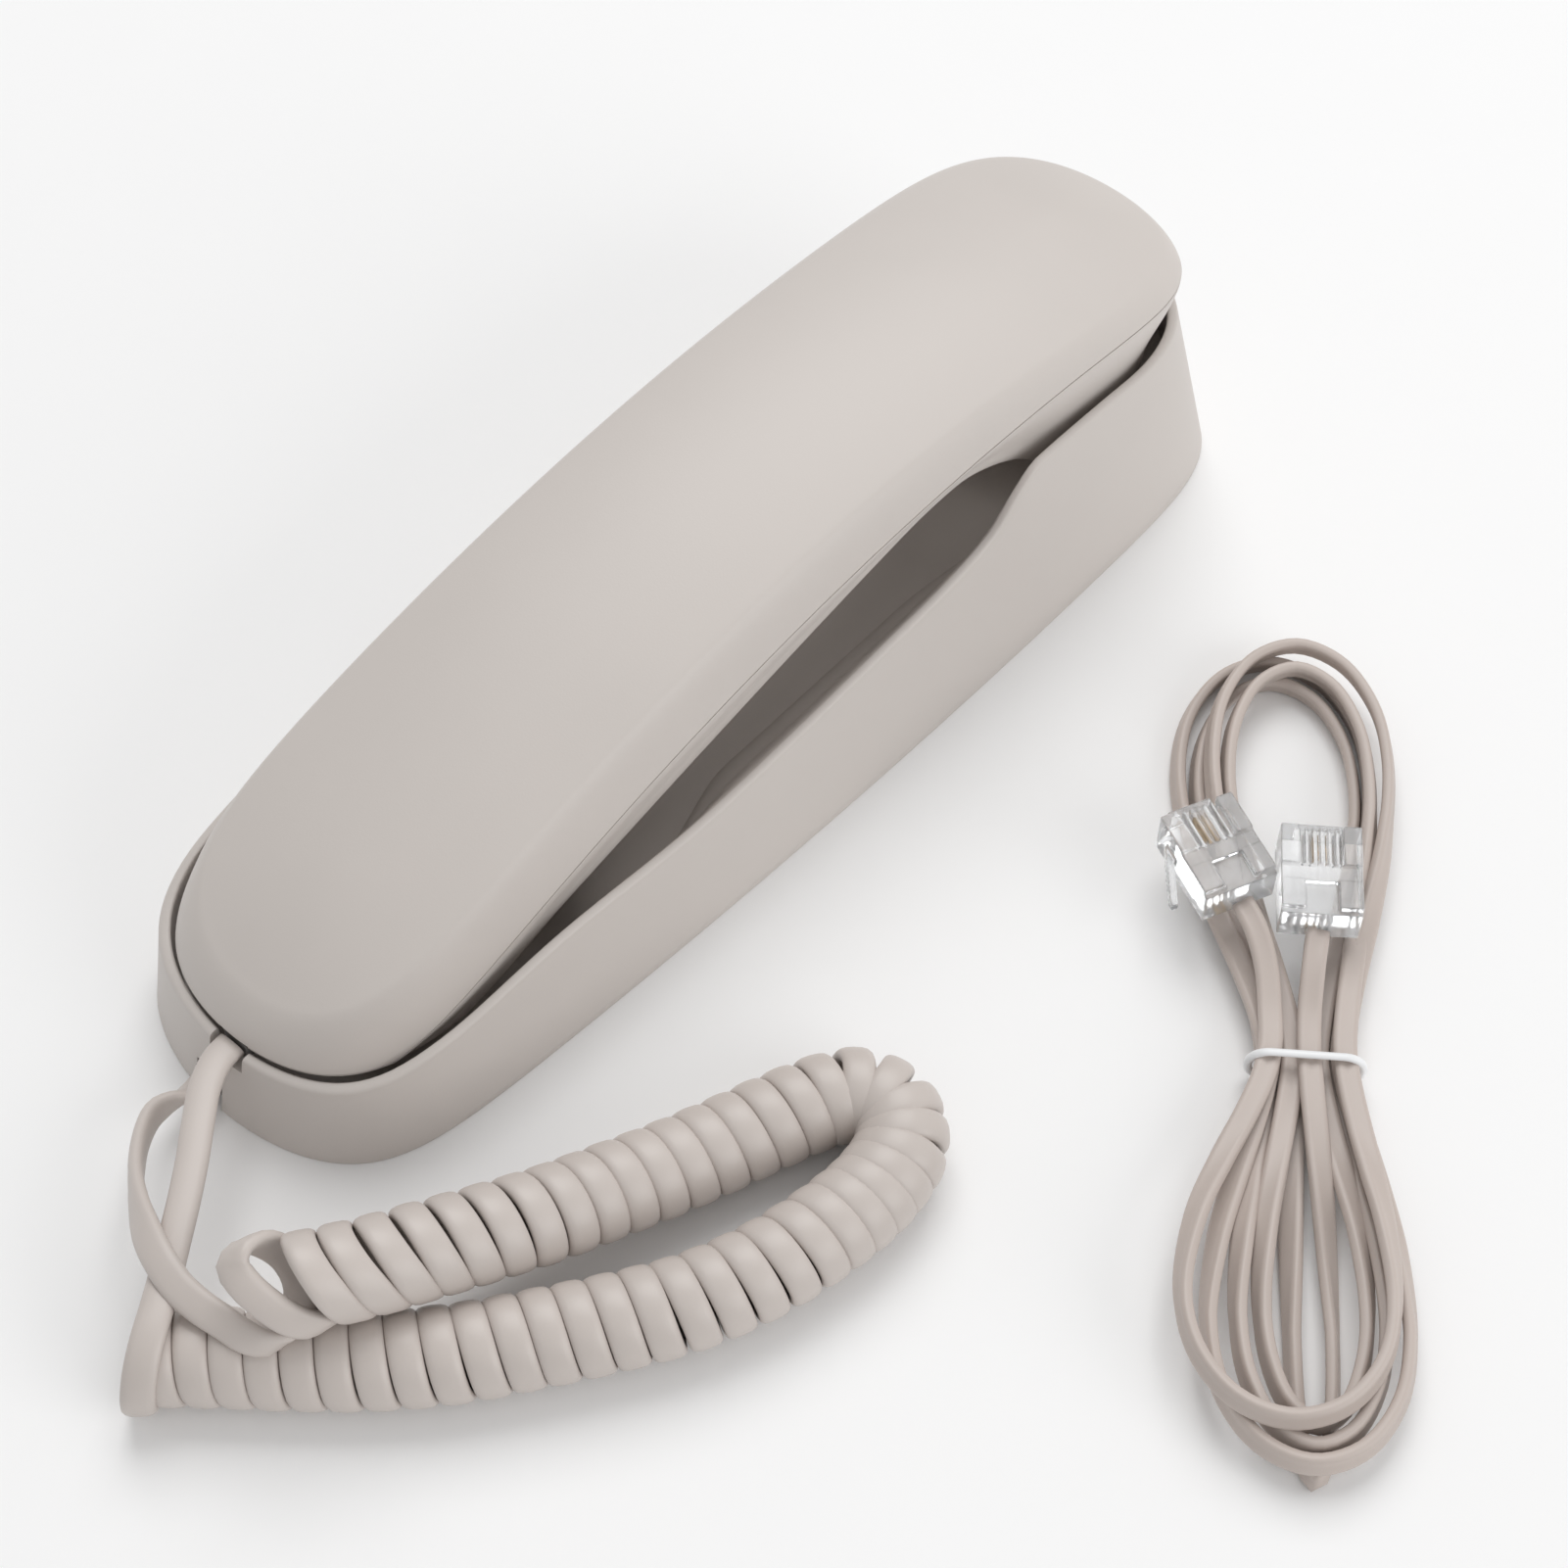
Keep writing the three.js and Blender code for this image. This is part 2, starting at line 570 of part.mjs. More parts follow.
// The hank's outline: two loops of cord drawn in to a narrow waist by the tie.
function hankSolid() {
  const outline = new THREE.Shape();
  outline.moveTo(7, 0);
  outline.bezierCurveTo(10, 16, 15, 24, 15, 44);
  outline.bezierCurveTo(15, 66, 8, 78.5, -2, 78.5);
  outline.bezierCurveTo(-13, 78.5, -19.5, 72, -19.5, 58);
  outline.bezierCurveTo(-19, 34, -11, 20, -7, 0);
  outline.bezierCurveTo(-8, -14, -18.5, -22, -18.5, -43);
  outline.bezierCurveTo(-18.5, -60, -10, -67, 0, -67);
  outline.bezierCurveTo(10, -67, 17.5, -60, 17.5, -42);
  outline.bezierCurveTo(17.5, -22, 9, -14, 7, 0);
  const body = new THREE.ExtrudeGeometry(outline, { depth: hankHeight - gap, bevelEnabled: false, curveSegments: 8 })
    .translate(0, 0, gap);
  const grooveUnder = box(-20, 20, -1.3, 1.3, -1, 1.9);
  return cut(body, grooveUnder);
}

function tieRing() {
  const rounded = (halfWidth, halfHeight, radius, Path) => {
    const path = new Path();
    path.moveTo(-halfWidth + radius, -halfHeight);
    path.lineTo(halfWidth - radius, -halfHeight);
    path.absarc(halfWidth - radius, -halfHeight + radius, radius, -Math.PI / 2, 0);
    path.absarc(halfWidth - radius, halfHeight - radius, radius, 0, Math.PI / 2);
    path.absarc(-halfWidth + radius, halfHeight - radius, radius, Math.PI / 2, Math.PI);
    path.absarc(-halfWidth + radius, -halfHeight + radius, radius, Math.PI, 1.5 * Math.PI);
    return path;
  };
  const ring = rounded(9, 4.2, 3, THREE.Shape);
  ring.holes.push(rounded(7.6, 2.8, 1.4, THREE.Path));
  return new THREE.ExtrudeGeometry(ring, { depth: 1.6, bevelEnabled: false, curveSegments: 5 })
    .rotateX(Math.PI / 2).translate(0, 0.8, 4.2);
}

const linePlugWidth = 12.2;
const linePlugLength = 15.4;
const linePlugHeight = 8;
const linePlugZ = hankHeight + gap + linePlugHeight / 2;
const linePlugPlaces = [
  { name: 'line_plug_a', x: -13.6, y: 30, turn: THREE.MathUtils.degToRad(28) },
  { name: 'line_plug_b', x: 3, y: 26.4, turn: 0 },
];

// A line plug points its contacts along +Y. Its latch arm springs out below the nose on one
// side, and its boot at the other end takes the flat cord.
function linePlug() {
  const half = linePlugWidth / 2;
  const halfLength = linePlugLength / 2;
  const halfHeight = linePlugHeight / 2;
  const body = box(-half, half, -halfLength, halfLength, -halfHeight, halfHeight - 1.2);
  const nose = box(-half, half, 1, halfLength, -halfHeight, halfHeight);
  const latchRoot = box(-3.4, 3.4, halfLength - 0.5, halfLength + 1.8, -halfHeight, 1);
  return joined(body, nose, latchRoot);
}

addPiece('line_cord_hank', hankSolid(), cordVinyl, hank);
addPiece('line_cord_tie', tieRing(), tieVinyl, hank);
linePlugPlaces.forEach(({ name, x, y, turn }) => {
  const plug = addPiece(name, linePlug(), clearPlastic, hank);
  plug.position.set(x, y, linePlugZ);
  plug.rotation.z = turn;
});

export default phone;
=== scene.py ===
import math
import bmesh
import bpy
import numpy as np
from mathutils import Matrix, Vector


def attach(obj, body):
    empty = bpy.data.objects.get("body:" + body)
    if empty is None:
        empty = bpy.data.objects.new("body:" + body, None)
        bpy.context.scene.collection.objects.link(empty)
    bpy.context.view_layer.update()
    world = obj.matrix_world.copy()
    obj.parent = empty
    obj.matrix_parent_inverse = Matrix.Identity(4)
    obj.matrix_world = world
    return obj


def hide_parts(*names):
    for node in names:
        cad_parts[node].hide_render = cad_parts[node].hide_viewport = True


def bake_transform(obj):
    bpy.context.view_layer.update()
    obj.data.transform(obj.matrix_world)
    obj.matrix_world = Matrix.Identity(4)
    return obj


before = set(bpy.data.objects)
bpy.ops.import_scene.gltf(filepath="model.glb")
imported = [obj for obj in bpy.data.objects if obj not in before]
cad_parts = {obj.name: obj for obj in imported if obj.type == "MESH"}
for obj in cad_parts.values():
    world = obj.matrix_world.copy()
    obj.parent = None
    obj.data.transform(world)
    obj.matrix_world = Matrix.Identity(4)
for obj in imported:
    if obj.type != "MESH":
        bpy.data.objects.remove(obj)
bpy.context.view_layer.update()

MM = 0.001
UP = np.array([0.0, 0.0, 1.0])

# ---------------------------------------------------------------- camera, floor and light
# A product shot on a white sweep: the phone lies on its back and is seen from its cord end,
# from well above, under two broad soft lights and a bright surround.
camera = bpy.data.objects.new("camera", bpy.data.cameras.new("camera"))
camera.data.lens = 66.95
camera.data.sensor_width = 36
camera.data.clip_start = 0.01
camera.location = (0.2071, -0.2040, 0.3755)
camera.rotation_euler = (math.radians(35.891), 0, math.radians(43.248))
bpy.context.scene.collection.objects.link(camera)
bpy.context.scene.camera = camera

surround = bpy.data.worlds.new("surround")
surround.use_nodes = True
surround.node_tree.nodes["Background"].inputs["Color"].default_value = (1, 1, 1, 1)
surround.node_tree.nodes["Background"].inputs["Strength"].default_value = 0.52
bpy.context.scene.world = surround
bpy.context.scene.view_settings.view_transform = "Standard"


def soft_light(name, place, aim, size, power):
    """A square area light of one size, set at a place and turned to face another."""
    lamp = bpy.data.objects.new(name, bpy.data.lights.new(name, "AREA"))
    lamp.data.size = size
    lamp.data.energy = power
    lamp.location = place
    lamp.rotation_euler = (Vector(aim) - Vector(place)).to_track_quat("-Z", "Y").to_euler()
    bpy.context.scene.collection.objects.link(lamp)


soft_light("light_above", (-0.9, 1.1, 2.3), (0, 0, 0), 2.0, 38)
soft_light("light_side", (1.7, 0.25, 0.75), (0, 0, 0.02), 1.3, 11)


def add_mesh(name, vertices, faces):
    """A smooth-shaded object at the origin from an array of points and an array of faces."""
    mesh = bpy.data.meshes.new(name)
    mesh.from_pydata(np.asarray(vertices, float).tolist(), [], [list(map(int, f)) for f in faces])
    mesh.shade_smooth()
    piece = bpy.data.objects.new(name, mesh)
    bpy.context.scene.collection.objects.link(piece)
    return piece


floor_half = 3.0
floor = add_mesh("floor", [[-floor_half, -floor_half, 0], [floor_half, -floor_half, 0],
                           [floor_half, floor_half, 0], [-floor_half, floor_half, 0]], [[0, 1, 2, 3]])


def moulded(name, colour, roughness, grain=0.0004, relief=0.00002, mottle=0.03, **sockets):
    """Moulded plastic or vinyl: a base colour that drifts slightly over the surface, a fine
    grain in the height and a slow change in the roughness, all in object coordinates."""
    material = bpy.data.materials.new(name)
    material.use_nodes = True
    nodes, links = material.node_tree.nodes, material.node_tree.links
    shader = nodes["Principled BSDF"]
    for socket, value in sockets.items():
        shader.inputs[socket.replace("_", " ")].default_value = value
    place = nodes.new("ShaderNodeTexCoord")
    drift = nodes.new("ShaderNodeTexNoise")
    drift.inputs["Scale"].default_value = 45
    drift.inputs["Detail"].default_value = 5
    tint = nodes.new("ShaderNodeValToRGB")
    tint.color_ramp.elements[0].position = 0.3
    tint.color_ramp.elements[1].position = 0.7
    tint.color_ramp.elements[0].color = (*[c * (1 - mottle) for c in colour], 1)
    tint.color_ramp.elements[1].color = (*[min(c * (1 + mottle), 1) for c in colour], 1)
    sheen = nodes.new("ShaderNodeMapRange")
    sheen.inputs["To Min"].default_value = roughness * 0.9
    sheen.inputs["To Max"].default_value = roughness * 1.1
    speckle = nodes.new("ShaderNodeTexNoise")
    speckle.inputs["Scale"].default_value = 1 / grain
    speckle.inputs["Detail"].default_value = 3
    height = nodes.new("ShaderNodeBump")
    height.inputs["Strength"].default_value = 0.6
    height.inputs["Distance"].default_value = relief
    for source, target in (
        (place.outputs["Object"], drift.inputs["Vector"]),
        (place.outputs["Object"], speckle.inputs["Vector"]),
        (drift.outputs["Fac"], tint.inputs["Fac"]),
        (tint.outputs["Color"], shader.inputs["Base Color"]),
        (drift.outputs["Fac"], sheen.inputs["Value"]),
        (sheen.outputs["Result"], shader.inputs["Roughness"]),
        (speckle.outputs["Fac"], height.inputs["Height"]),
        (height.outputs["Normal"], shader.inputs["Normal"]),
    ):
        links.new(source, target)
    return material


floor.data.materials.append(moulded("white_sweep", (0.93, 0.93, 0.93), 0.9, grain=0.002, mottle=0.003))


# ---------------------------------------------------------------- curly handset cord
# A flat vinyl cord with rounded edges, heat-set into a close right-handed coil between two
# straight tails. One tail goes into the handset and the other into the foot of the base.
def smooth_route(points, spacing):
    """A line through the given points, evenly spaced. Each stretch is a cubic whose slopes
    come from the neighbouring points, timed by the square root of their distance. Columns
    after the third, such as a direction at each point, are carried along with it."""
    points = np.asarray(points, float)
    step = np.linalg.norm(np.diff(points[:, :3], axis=0), axis=1)
    time = np.r_[0, np.cumsum(step ** 0.5)]
    slope = np.gradient(points, time, axis=0)
    fine = np.linspace(0, time[-1], 40 * len(points))
    i = np.clip(np.searchsorted(time, fine, side="right") - 1, 0, len(points) - 2)
    span = (time[i + 1] - time[i])[:, None]
    s = (fine - time[i])[:, None] / span
    line = (points[i] * (1 + 2 * s) * (1 - s) ** 2 + points[i + 1] * s * s * (3 - 2 * s)
            + slope[i] * span * s * (1 - s) ** 2 + slope[i + 1] * span * s * s * (s - 1))
    return respaced(line, spacing)


def lengths_along(line):
    """Distance from the first point to each point of a line."""
    return np.r_[0, np.cumsum(np.linalg.norm(np.diff(line[:, :3], axis=0), axis=1))]


def respaced(line, spacing):
    """The same line with its points an even distance apart."""
    reach = lengths_along(line)
    even = np.linspace(0, reach[-1], max(round(reach[-1] / spacing), 2) + 1)
    return np.stack([np.interp(even, reach, line[:, k]) for k in range(line.shape[1])], axis=1)


def unit(vectors):
    """The same vectors, each of length one."""
    return vectors / np.linalg.norm(vectors, axis=-1, keepdims=True)


def tube(name, rings, ends=True):
    """A closed skin over rings of equal count, with a pole vertex closing each end. The rings
    turn so that (step from ring to ring) x (step round the ring) points outwards."""
    count, sides = rings.shape[:2]
    here = np.arange(count * sides).reshape(count, sides)
    beside = np.roll(here, -1, axis=1)
    quads = np.stack([here[:-1], here[1:], beside[1:], beside[:-1]], axis=-1).reshape(-1, 4)
    vertices = rings.reshape(-1, 3)
    faces = quads.tolist()
    if ends:
        pole = count * sides
        vertices = np.vstack([vertices, rings[0].mean(0), rings[-1].mean(0)])
        faces += [[a, b, pole] for a, b in zip(here[0], beside[0])]
        faces += [[b, a, pole + 1] for a, b in zip(here[-1], beside[-1])]
    return add_mesh(name, vertices, faces)


def cord_rings(path, facing, width, thickness, power=2.7, groove=0.0, sides=16):
    """A flat cord: its section is |2x / width|^p + |2y / thickness|^p = 1, with a shallow
    groove down the middle of both faces, carried along the path with one face to `facing`."""
    along = unit(np.gradient(path, axis=0))
    out = unit(facing - (facing * along).sum(1, keepdims=True) * along)
    across = np.cross(along, out)
    angle = 2 * np.pi * np.arange(sides) / sides
    x = width / 2 * np.sign(np.cos(angle)) * abs(np.cos(angle)) ** (2 / power)
    y = thickness / 2 * np.sign(np.sin(angle)) * abs(np.sin(angle)) ** (2 / power)
    y = y * (1 - groove * np.exp(-(x / (0.14 * width)) ** 2))
    return path[:, None] + x[None, :, None] * across[:, None] + y[None, :, None] * out[:, None]


cord_width = 4.8 * MM
cord_thickness = 2.3 * MM
coil_radius = 5.8 * MM           # from the coil's axis to the middle of the cord
points_per_turn = 28
turn_count = 45.8                # ends behind the coil, where the loose last turn begins
axis_step = 0.5 * MM

# The coil's axis from the handset's tail to the base's: out along the floor, round a tight
# bend, back beside itself, and up on to the first run at the end.
coil_axis = smooth_route(MM * np.array([
    [26.8, -139.9, 7], [35.6, -132, 7], [43, -125.6, 7], [50.4, -118.6, 7], [57.6, -110.4, 7],
    [64, -101.4, 7], [70, -92.4, 7], [75.3, -83.4, 7], [79.2, -73.5, 7], [81.6, -62.5, 7],
    [82.3, -52, 7], [80.4, -44.8, 7], [75.6, -41.4, 7], [70.4, -42.8, 7], [67.2, -47.4, 7],
    [64.4, -54.4, 7], [61.6, -62.4, 7], [58.8, -70.7, 7.6], [55.9, -79.3, 9], [53.1, -88.2, 11],
    [50, -96.8, 13.3], [47, -104.9, 15.7], [44.2, -112.5, 18], [41.2, -119.5, 20.2],
]), axis_step)
reach = lengths_along(coil_axis)
# The pitch is a cord's width and a hair in the close runs, less round the bend, where the
# turns fan out, and wider where the coil climbs.
share = [0, 0.44, 0.5, 0.57, 0.62, 0.84, 0.92, 1]
pitch = MM * np.interp(reach / reach[-1], share, [4.95, 4.95, 3.5, 3.5, 4.95, 4.95, 5.1, 5.4])
turns = np.r_[0, np.cumsum(np.diff(reach) / ((pitch[1:] + pitch[:-1]) / 2))]
turns *= turn_count / turns[-1]
turn_steps = np.linspace(0, turns[-1], int(turns[-1] * points_per_turn))
at = np.interp(turn_steps, turns, reach)
axis = np.stack([np.interp(at, reach, coil_axis[:, k]) for k in range(3)], axis=1)
forward = unit(np.gradient(axis, axis=0))
upward = unit(UP - (forward @ UP)[:, None] * forward)
angle = 2 * np.pi * turn_steps[:, None] + np.pi      # the first turn starts under the coil
radial = np.cos(angle) * upward + np.sin(angle) * np.cross(forward, upward)
# The open turns at the end have slumped: their tops lean on towards the end of the coil.
slump = np.interp(at / reach[-1], [0.84, 0.97], [0, 0.6])[:, None] * np.cos(angle)
coil = axis + coil_radius * (radial + slump * forward)

# From the handset over the notch in the rim, over the first turn, down its front and in
# beneath it. Each row is a point in millimetres and the direction the cord's face looks in.
handset_tail = np.array([
    [2, -101.5, 14.4, 0, 0, 1], [2.3, -104.4, 14.4, 0, 0, 1], [4.4, -108.6, 14.4, 0, 0, 1],
    [8, -112.9, 14.4, 0, 0, 1], [12.2, -117.5, 14.5, 0, 0, 1], [16.5, -122.6, 14.7, 0, 0, 1],
    [20.6, -127.8, 14.9, 0, 0, 1], [23.9, -132, 15.1, 0, 0, 1], [26.4, -135.4, 15.2, 0, 0, 1],
    [29.1, -139.6, 14.6, 0.25, -0.3, 0.9], [30.9, -142.8, 12.3, 0.5, -0.6, 0.6],
    [31.8, -144.8, 8.5, 0.7, -0.75, 0], [31.1, -144.8, 4.4, 0.6, -0.6, -0.5],
    [29.4, -143.1, 1.9, 0.3, -0.3, -0.9],
])
# From the coil's last turn back over the first run and the handset's tail, round a loose
# loop that stands on its edge, and into the slot at the foot of the base.
base_tail = np.array([
    [38.6, -117.6, 15.6, -0.3, 0.2, -0.9], [42, -118.6, 14.8, 0.2, 0, -1],
    [44.7, -120.8, 15.5, 0.8, -0.3, -0.5], [44.8, -123.3, 17.2, 0.9, -0.4, 0.1],
    [43, -125.3, 19.2, 0.7, -0.4, 0.5], [39.8, -126.6, 21.6, 0.4, -0.5, 0.8],
    [36.6, -127.2, 24, 0.1, -0.4, 0.9], [34.3, -126.8, 25.6, -0.3, -0.2, 0.9],
    [33.3, -124.6, 25.8, -0.7, 0, 0.7], [33.8, -121.8, 24.2, -0.9, 0.2, 0.2],
    [35.8, -120, 21, -0.8, 0.4, -0.4], [38.8, -120.4, 17.8, -0.4, 0.4, -0.8],
    [41.2, -122.9, 16.1, 0.2, 0.1, -1], [42.2, -126.2, 15.3, 0.6, -0.3, -0.6],
    [41.4, -128.8, 15.2, 0.5, -0.8, 0.2], [38.6, -130.3, 15.4, 0.2, -0.7, 0.7],
    [35.3, -130.9, 15.6, 0.1, -0.6, 0.8],
    [31.2, -131.7, 16, 0, -0.4, 0.9], [27.1, -132, 16.6, 0, -0.3, 0.95],
    [22.7, -131.3, 17, -0.1, -0.3, 0.95], [17.3, -129.6, 15.8, -0.2, -0.5, 0.85],
    [11.7, -127, 13.5, -0.5, -0.7, 0.45], [6.2, -123.5, 11, -0.65, -0.75, 0.1],
    [0.9, -118.6, 8.5, -0.73, -0.69, 0], [-1.6, -114.7, 7, -0.73, -0.6, 0],
    [-1.8, -111.5, 6, -0.8, -0.4, 0.3], [-1.4, -108.6, 5.2, -0.5, -0.1, 0.8],
    [-1.5, -105.3, 4.6, 0, 0, 1],
])
cord_step = 1.3 * MM
coil = np.hstack([coil, radial])
handset_tail[:, :3] *= MM
base_tail[:, :3] *= MM
first_part = smooth_route(np.vstack([handset_tail, coil[:2]]), cord_step)[:-2]
last_part = smooth_route(np.vstack([coil[-2:], base_tail]), cord_step)[2:]
cord_line = np.vstack([first_part, coil, last_part])
cord_skin = cord_rings(cord_line[:, :3], cord_line[:, 3:], cord_width, cord_thickness)
# The first part runs from the handset as far as the underside of the coil, as a piece of its own.
parted_at = len(first_part) + 2
tail_line = cord_line[:parted_at + 1, :3]
coil_line = cord_line[parted_at:, :3]

cord_vinyl = moulded("cord_vinyl", (0.57, 0.515, 0.48), 0.4, grain=0.0006, mottle=0.02)
handset_cord = tube("handset_cord", cord_skin[:parted_at + 1])
handset_cord.data.materials.append(cord_vinyl)
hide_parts("handset_cord_tail")
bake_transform(handset_cord)
lengths_along(tail_line)[-1]

curly_cord = tube("curly_cord", cord_skin[parted_at:])
curly_cord.data.materials.append(cord_vinyl)
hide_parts("handset_cord_coil", "base_cord_tail")
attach(curly_cord, "base")
lengths_along(coil_line)[-1]


# ---------------------------------------------------------------- line cord in a hank
# A flat telephone lead, flatter than the curly cord and with a groove between its wires,
# folded into long loops that stand on their edge and are drawn in by a soft vinyl ring.
hank_place = MM * np.array([112.6, 8.4, 0])
hank_turn = math.radians(38.5)
line_width = 3.6 * MM
line_thickness = 1.9 * MM


def on_hank(points):
    """Points in the hank's own frame, in millimetres, turned and set down where it lies."""
    points = MM * np.asarray(points, float)
    c, s = math.cos(hank_turn), math.sin(hank_turn)
    turned = points @ np.array([[c, s, 0], [-s, c, 0], [0, 0, 1]])
    return turned + hank_place


def side_of_loop(slot, side, middle, tip, layer):
    """One side of a loop from its place in the tie out to just before the tip. It swings out
    as a sine to its widest at 7/10 of the way, and closes in as a quarter of an ellipse."""
    leg = np.array([0.12, 0.28, 0.48, 0.72, 1.0])
    x = slot[0] + (side - slot[0]) * np.sin(leg * np.pi / 2) ** 1.5
    y = 0.7 * tip * leg
    z = slot[1] + (layer - slot[1]) * np.minimum(leg / 0.7, 1) ** 2
    turn = np.radians([30, 60])
    x = np.r_[x, middle + (side - middle) * np.cos(turn)]
    y = np.r_[y, 0.7 * tip + 0.3 * tip * np.sin(turn)]
    z = np.r_[z, [layer] * len(turn)]
    return np.stack([x, y, z], axis=1)


def whole_loop(enter, leave, first_side, last_side, tip, layer):
    """A loop from one slot in the tie to another, by way of its tip."""
    middle = (first_side + last_side) / 2
    there = side_of_loop(enter, first_side, middle, tip, layer)
    back = side_of_loop(leave, last_side, middle, tip, layer)[::-1]
    return np.vstack([[[enter[0], 0, enter[1]]], there, [[middle, tip, layer]], back])


# Where the cord passes through the tie, as (across, height), in the order that it is folded.
left_slots = [(-5.3, 6.0), (-5.3, 4.1), (-5.3, 2.2), (-1.7, 4.1), (-1.7, 2.2)]
right_slots = [(5.6, 6.0), (5.6, 4.1), (5.6, 2.2), (1.9, 3.2), (0.4, 6.0)]
# Loops below the tie as (left, right, tip, height off the floor), then the arches above it.
lower_loops = [(-18.3, 10.8, -59.6, 8.6), (-14.4, 13.4, -64.4, 5.2), (-10.3, 10.2, -62, 5.2),
               (-7, 7.6, -58.6, 5.2), (-2.4, 3.2, -65.4, 1.9)]
upper_loops = [(-18.6, 11.3, 75, 1.9), (-13.6, 14, 76.2, 5.5), (-11.2, 11, 71.4, 5.5),
               (-15.6, 9.2, 71, 1.9)]
plug_a = dict(place=(-13.6, 30), turn=math.radians(28))
plug_b = dict(place=(1.8, 26.8), turn=0.0)
fold = [[[-9.6, 22.6, 9.6], [-7.6, 18.4, 9.2], [-5.9, 12.6, 7.6], [-5.3, 6, 6.2]]]
for k, (left, right, tip, layer) in enumerate(lower_loops):
    fold.append(whole_loop(left_slots[k], right_slots[k], left, right, tip, layer))
    fold.append([[right_slots[k][0], 0, right_slots[k][1]]])
    if k < len(upper_loops):
        left, right, tip, layer = upper_loops[k]
        arch = whole_loop(right_slots[k], left_slots[k + 1], right, left, tip, layer)
        fold.append(arch[1:])
fold.append([[0.5, 6, 6.6], [0.9, 12, 8.4], [1.6, 18.4, 9.6]])
line_route = smooth_route(on_hank(np.vstack(fold)), 1.5 * MM)
# Flat where it runs through the tie and into the plugs, and turned on its edge in the loops.
from_tie = np.abs((line_route - hank_place) @ [-math.sin(hank_turn), math.cos(hank_turn), 0])
lean = np.radians(74) * np.clip((from_tie / MM - 14) / 30, 0, 1)[:, None]
outer_side = unit(np.cross(unit(np.gradient(line_route, axis=0)), UP))
line_facing = np.cos(lean) * UP + np.sin(lean) * outer_side
line_cord = tube("line_cord", cord_rings(line_route, line_facing, line_width, line_thickness,
                                         power=3.4, groove=0.3, sides=24))
line_cord.data.materials.append(moulded("line_vinyl", (0.53, 0.46, 0.42), 0.42, grain=0.0006))
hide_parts("line_cord_hank")
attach(line_cord, "base")

ring_half_width = 8.4
ring_half_height = 3.5
ring_corner = 3.2
ring_level = 4.15
corner = np.arange(8) * np.pi / 14
corner_places = [(1, 1), (-1, 1), (-1, -1), (1, -1)]
ring_line = on_hank(np.vstack([np.stack([
    sx * (ring_half_width - ring_corner) + ring_corner * np.cos(corner + k * np.pi / 2),
    -2 + 0 * corner,
    ring_level + sy * (ring_half_height - ring_corner) + ring_corner * np.sin(corner + k * np.pi / 2),
], axis=1) for k, (sx, sy) in enumerate(corner_places)]))
ring_middle = on_hank([[0, -2, ring_level]])
around = np.linspace(0, 2 * np.pi, 12, endpoint=False)[None, :, None]
ring_along = on_hank([[0, 1, 0]]) - hank_place
ring_skin = ring_line[:, None] + 0.65 * MM * (
    np.cos(around) * unit(ring_line - ring_middle)[:, None] - np.sin(around) * unit(ring_along)[None])
line_tie = tube("line_tie", np.vstack([ring_skin, ring_skin[:1]]), ends=False)
line_tie.data.materials.append(moulded("tie_vinyl", (0.86, 0.87, 0.88), 0.35, grain=0.0008))
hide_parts("line_cord_tie")
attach(line_tie, "base")


# ---------------------------------------------------------------- line plugs
# A modular plug of clear polycarbonate: a stepped block with ribs between its six contact
# slots, two gilt contacts, a window that clamps the cord, and a latch sprung from its nose.
def blocks(name, corners):
    """Boxes in one mesh, from rows of (low x, high x, low y, high y, low z, high z)."""
    corners = np.asarray(corners, float).reshape(-1, 3, 2)
    choice = np.array([[0, 0, 0], [1, 0, 0], [1, 1, 0], [0, 1, 0],
                       [0, 0, 1], [1, 0, 1], [1, 1, 1], [0, 1, 1]])
    vertices = np.stack([corners[:, k][:, choice[:, k]] for k in range(3)], axis=-1)
    sides = np.array([[0, 3, 2, 1], [4, 5, 6, 7], [0, 1, 5, 4], [1, 2, 6, 5], [2, 3, 7, 6],
                      [3, 0, 4, 7]])
    faces = (sides[None] + 8 * np.arange(len(corners))[:, None, None]).reshape(-1, 4)
    return add_mesh(name, vertices.reshape(-1, 3), faces)


def baked(piece):
    """Applies a piece's modifiers to its mesh."""
    shape = piece.evaluated_get(bpy.context.evaluated_depsgraph_get())
    made = bpy.data.meshes.new_from_object(shape)
    piece.modifiers.clear()
    piece.data = made


def place_on_hank(piece, place, turn, height):
    """Turns a piece's mesh, made in metres about its own middle, and lays it on the hank."""
    local = np.array([v.co for v in piece.data.vertices])
    c, s = math.cos(turn), math.sin(turn)
    local = local @ np.array([[c, s, 0], [-s, c, 0], [0, 0, 1]]) / MM + [*place, height]
    piece.data.vertices.foreach_set("co", on_hank(local).ravel())
    piece.data.update()


